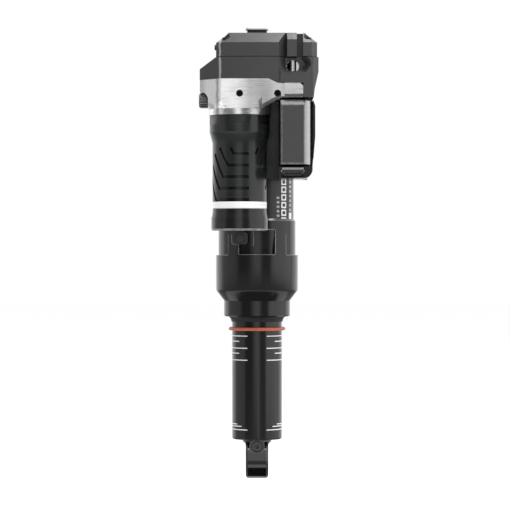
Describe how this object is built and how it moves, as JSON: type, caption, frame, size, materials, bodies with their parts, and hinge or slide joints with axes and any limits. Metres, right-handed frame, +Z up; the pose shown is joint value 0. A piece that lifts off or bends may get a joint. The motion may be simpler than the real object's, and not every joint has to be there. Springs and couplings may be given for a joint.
{
  "type": "rear shock",
  "caption": "Trunnion-mount bicycle air shock with piggyback reservoir, electronic damping module on the head and a removable battery.",
  "frame": {"origin": "centre of the lower eyelet bore", "axes": "+Z up the shock axis towards the trunnion head, X along the lower eyelet bore and the trunnion axis, -Y towards the reservoir and battery"},
  "size_m": [0.0653, 0.0877, 0.2515],
  "materials": {
    "polished_alloy": "machined aluminium, bright brushed finish",
    "black_anodised": "black anodised forged aluminium",
    "gloss_black_anodised": "hard black anodised, polished",
    "alloy_inner": "turned aluminium",
    "seal_rubber": "nitrile rubber",
    "rim_rubber": "soft black gasket",
    "orange_rubber": "orange-red rubber ring",
    "chromed_steel": "hard chrome on steel",
    "bright_steel": "plated steel",
    "black_steel": "black oxide steel",
    "motor_steel": "drawn steel can",
    "bushing_polymer": "low-friction polymer",
    "can_anodised": "satin black anodised",
    "sleeve_anodised": "gloss black anodised",
    "reservoir_anodised": "dark grey-black anodised",
    "silver_band": "silver-white band and printed marks",
    "brass": "nickel-washed brass",
    "dial_alloy": "dark knurled aluminium",
    "module_grey": "fine satin dark grey",
    "board_green": "solder mask",
    "chip_black": "moulded chip packages",
    "lens": "clear lens",
    "button_alloy": "satin aluminium key",
    "black_plastic": "black moulded plastic",
    "dock_plastic": "glass-filled black plastic",
    "gold_contact": "gold-plated contacts",
    "battery_plastic": "dark grey moulded shell",
    "cell_wrap": "shrink-wrapped cell",
    "latch_plastic": "black glass-filled latch"
  },
  "bodies": {
    "upper": {"air_can": "can_anodised", "air_can_sleeve": "sleeve_anodised", "air_seal": "seal_rubber", "air_valve": "brass", "air_valve_cap": "black_plastic", "battery_dock": "dock_plastic", "board_chips": "chip_black", "bottom_out_bumper": "seal_rubber", "circuit_board": "board_green", "compression_shims": "chromed_steel", "cover_screws": "black_steel", "damper_shaft": "chromed_steel", "dock_contacts": "gold_contact", "dock_screws": "bright_steel", "guide_bushing": "bushing_polymer", "head": "polished_alloy", "head_plugs": "black_steel", "head_seal": "seal_rubber", "latch_pin": "bright_steel", "main_piston": "alloy_inner", "module_cover": "module_grey", "module_gasket": "seal_rubber", "module_housing": "module_grey", "module_screw": "bright_steel", "piston_glide_ring": "bushing_polymer", "piston_nut": "chromed_steel", "rebound_rod": "chromed_steel", "rebound_shims": "chromed_steel", "reservoir_band": "silver_band", "reservoir_body": "reservoir_anodised", "reservoir_end_cap": "sleeve_anodised", "reservoir_fill_screw": "black_steel", "servo_motor": "motor_steel", "sleeve_plug": "black_steel", "status_lens": "lens", "top_out_bumper": "seal_rubber", "wiper_seal": "seal_rubber"},
    "lower_leg": {"lower_eyelet": "black_anodised", "eyelet_bushing": "bushing_polymer", "damper_body": "gloss_black_anodised", "bottom_out_cup": "alloy_inner", "seal_head": "alloy_inner", "air_piston_seal": "seal_rubber", "shaft_seal": "seal_rubber"},
    "travel_ring": {"sag_ring": "orange_rubber"},
    "adjuster": {"bottom_out_adjuster": "black_steel"},
    "separator": {"floating_piston": "alloy_inner", "floating_piston_seal": "seal_rubber"},
    "dial": {"rebound_dial": "dial_alloy", "dial_stem": "chromed_steel"},
    "valve": {"valve_spool": "chromed_steel", "motor_coupling": "chromed_steel"},
    "top_key": {"mode_button": "button_alloy", "mode_button_stem": "black_plastic"},
    "side_key": {"side_button": "black_plastic"},
    "battery": {"battery_case": "battery_plastic", "battery_cell": "cell_wrap", "battery_rim": "rim_rubber", "battery_contacts": "gold_contact"},
    "latch": {"battery_latch": "latch_plastic"}
  },
  "joints": [
    {"name": "shock_stroke", "type": "slide", "parent": "upper", "child": "lower_leg", "axis": [0, 0, 1], "range_m": [0, 0.065], "stiffness_N_per_m": 20000},
    {"name": "travel_ring_slide", "type": "slide", "parent": "lower_leg", "child": "travel_ring", "axis": [0, 0, -1], "range_m": [0, 0.065]},
    {"name": "adjuster_turn", "type": "hinge", "parent": "lower_leg", "child": "adjuster", "pos_m": [0, -0.0088, 0.0071], "axis": [0, -1, 0], "range_deg": [0, 270]},
    {"name": "separator_slide", "type": "slide", "parent": "upper", "child": "separator", "axis": [0, 0, -1], "range_m": [0, 0.0115]},
    {"name": "rebound_dial_turn", "type": "hinge", "parent": "upper", "child": "dial", "pos_m": [-0.0294, -0.038, 0.1995], "axis": [-1, 0, 0], "range_deg": [-300, 0]},
    {"name": "valve_turn", "type": "hinge", "parent": "upper", "child": "valve", "pos_m": [-0.0045, -0.021, 0.204], "axis": [0, 0, 1], "range_deg": [0, 90]},
    {"name": "top_key_press", "type": "slide", "parent": "upper", "child": "top_key", "axis": [0, 0, -1], "range_m": [0, 0.0008], "stiffness_N_per_m": 800},
    {"name": "side_key_press", "type": "slide", "parent": "upper", "child": "side_key", "axis": [1, 0, 0], "range_m": [0, 0.0006], "stiffness_N_per_m": 800},
    {"name": "battery_slide", "type": "slide", "parent": "upper", "child": "battery", "axis": [0, -1, 0], "range_m": [0, 0.032]},
    {"name": "battery_latch_turn", "type": "hinge", "parent": "upper", "child": "latch", "pos_m": [0.0194, -0.049, 0.1604], "axis": [1, 0, 0], "range_deg": [0, 45]}
  ],
  "couplings": [
    {"joint": "travel_ring_slide", "follows": "shock_stroke", "ratio": 1},
    {"joint": "separator_slide", "follows": "shock_stroke", "ratio": 0.16}
  ]
}
